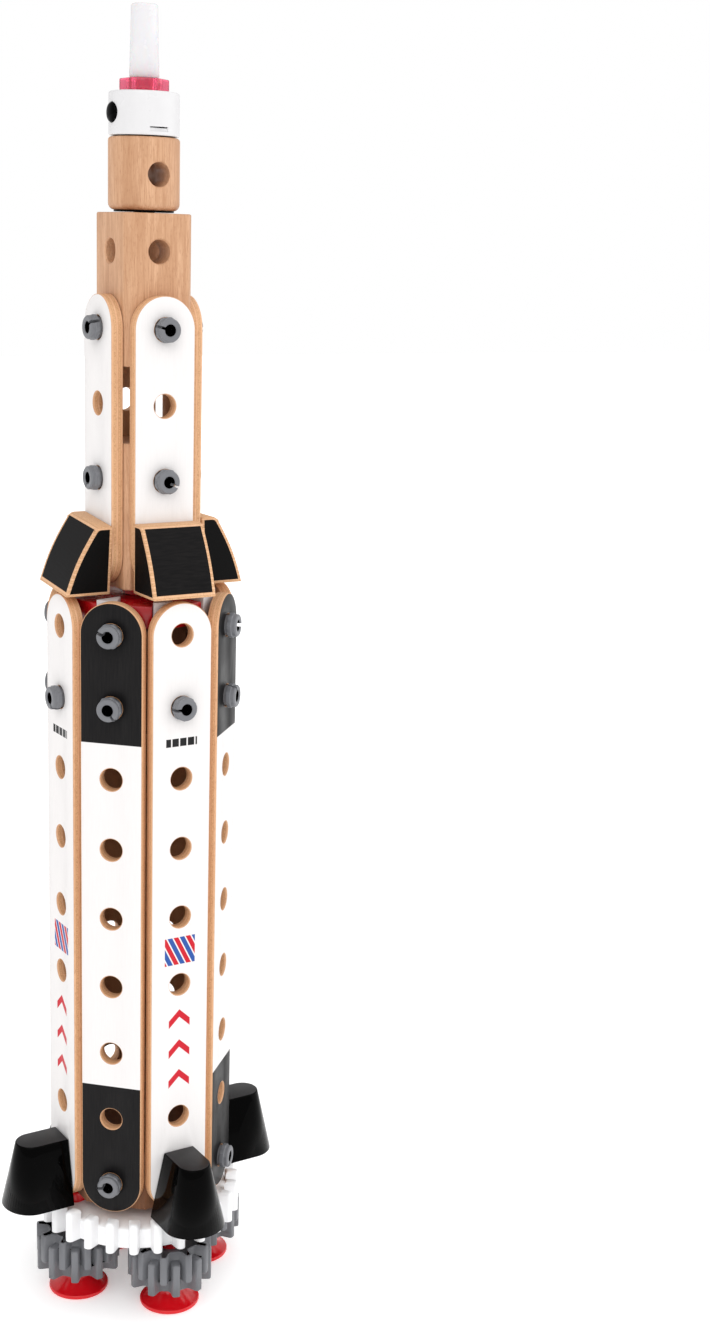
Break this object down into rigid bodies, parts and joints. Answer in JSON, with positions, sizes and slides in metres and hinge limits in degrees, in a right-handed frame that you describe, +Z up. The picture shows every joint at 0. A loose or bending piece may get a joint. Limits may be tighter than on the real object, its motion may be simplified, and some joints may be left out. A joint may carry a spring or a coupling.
{
  "type": "construction-set toy rocket",
  "caption": "Tall multistage toy rocket of drilled wooden strips and blocks riveted together, with engine fairings, a push-button lamp on top, and a base gear on geared feet.",
  "frame": {"origin": "on the floor, under the rocket's axis, midway between the feet", "axes": "+Z up the rocket's axis to the light tube, -Y the front, where the printed strip faces, +X to the right of the front"},
  "size_m": [0.1292, 0.1292, 0.545],
  "materials": {
    "beech": "oiled, fine straight grain",
    "printed_strip": "plywood, white lacquered and printed face, bare edges",
    "white_strip": "plywood, white lacquered face, bare edges",
    "banded_strip": "plywood, black lacquer over white, bare edges",
    "black_painted_wood": "satin black lacquer on the swelling faces, bare edges",
    "white_plastic": "satin white moulding",
    "grey_plastic": "satin dark grey moulding",
    "black_plastic": "polished black moulding",
    "red_plastic": "glossy red moulding",
    "clear_red_plastic": "glossy tinted see-through red",
    "milky_plastic": "milky light-spreading white",
    "board_green": "solder mask",
    "cell_steel": "plain stamped can"
  },
  "bodies": {
    "base": {"large_gear": "white_plastic", "foot_bolt_front": "red_plastic", "foot_bolt_right": "red_plastic", "foot_bolt_back": "red_plastic", "foot_bolt_left": "red_plastic"},
    "gear_front": {"small_gear_front": "grey_plastic"},
    "gear_right": {"small_gear_right": "grey_plastic"},
    "gear_back": {"small_gear_back": "grey_plastic"},
    "gear_left": {"small_gear_left": "grey_plastic"},
    "rocket": {"centre_bolt": "red_plastic", "cylinder_pin": "grey_plastic", "engine_fairing_back": "black_plastic", "engine_fairing_front": "black_plastic", "engine_fairing_left": "black_plastic", "engine_fairing_right": "black_plastic", "long_strip_back": "printed_strip", "long_strip_back_left": "banded_strip", "long_strip_back_right": "banded_strip", "long_strip_front": "printed_strip", "long_strip_front_left": "banded_strip", "long_strip_front_right": "banded_strip", "long_strip_left": "printed_strip", "long_strip_right": "printed_strip", "lower_block": "beech", "lower_hub": "beech", "rivet_long_back_left_lower": "grey_plastic", "rivet_long_back_left_upper": "grey_plastic", "rivet_long_back_right_lower": "grey_plastic", "rivet_long_back_right_upper": "grey_plastic", "rivet_long_front_left_lower": "grey_plastic", "rivet_long_front_left_upper": "grey_plastic", "rivet_long_front_right_lower": "grey_plastic", "rivet_long_front_right_upper": "grey_plastic", "rivet_short_back_lower": "grey_plastic", "rivet_short_back_upper": "grey_plastic", "rivet_short_front_lower": "grey_plastic", "rivet_short_front_upper": "grey_plastic", "rivet_short_left_lower": "grey_plastic", "rivet_short_left_upper": "grey_plastic", "rivet_short_right_lower": "grey_plastic", "rivet_short_right_upper": "grey_plastic", "short_strip_back": "white_strip", "short_strip_front": "white_strip", "short_strip_left": "white_strip", "short_strip_right": "white_strip", "skirt_wedge_back": "black_painted_wood", "skirt_wedge_front": "black_painted_wood", "skirt_wedge_left": "black_painted_wood", "skirt_wedge_right": "black_painted_wood", "stage_pin": "red_plastic", "upper_block": "beech", "upper_hub": "red_plastic"},
    "cylinder": {"cylinder_block": "beech"},
    "lamp": {"lamp_housing": "white_plastic", "lamp_base_cover": "grey_plastic", "coin_cell": "cell_steel", "led_board": "board_green", "hex_nut": "clear_red_plastic", "light_tube": "milky_plastic"},
    "button": {"lamp_button": "black_plastic"}
  },
  "joints": [
    {"name": "rocket_turn", "type": "hinge", "parent": "base", "child": "rocket", "pos_m": [0, 0, 0.045], "axis": [0, 0, 1], "continuous": true},
    {"name": "small_gear_front_spin", "type": "hinge", "parent": "base", "child": "gear_front", "pos_m": [0, -0.03, 0.021], "axis": [0, 0, 1], "continuous": true},
    {"name": "small_gear_right_spin", "type": "hinge", "parent": "base", "child": "gear_right", "pos_m": [0.03, 0, 0.021], "axis": [0, 0, 1], "continuous": true},
    {"name": "small_gear_back_spin", "type": "hinge", "parent": "base", "child": "gear_back", "pos_m": [0, 0.03, 0.021], "axis": [0, 0, 1], "continuous": true},
    {"name": "small_gear_left_spin", "type": "hinge", "parent": "base", "child": "gear_left", "pos_m": [-0.03, 0, 0.021], "axis": [0, 0, 1], "continuous": true},
    {"name": "cylinder_turn", "type": "hinge", "parent": "rocket", "child": "cylinder", "pos_m": [0, 0, 0.466], "axis": [0, 0, 1], "continuous": true},
    {"name": "lamp_turn", "type": "hinge", "parent": "cylinder", "child": "lamp", "pos_m": [0, 0, 0.495], "axis": [0, 0, 1], "continuous": true},
    {"name": "button_press", "type": "slide", "parent": "lamp", "child": "button", "axis": [1, 0, 0], "range_m": [0, 0.001], "stiffness_N_per_m": 300}
  ]
}
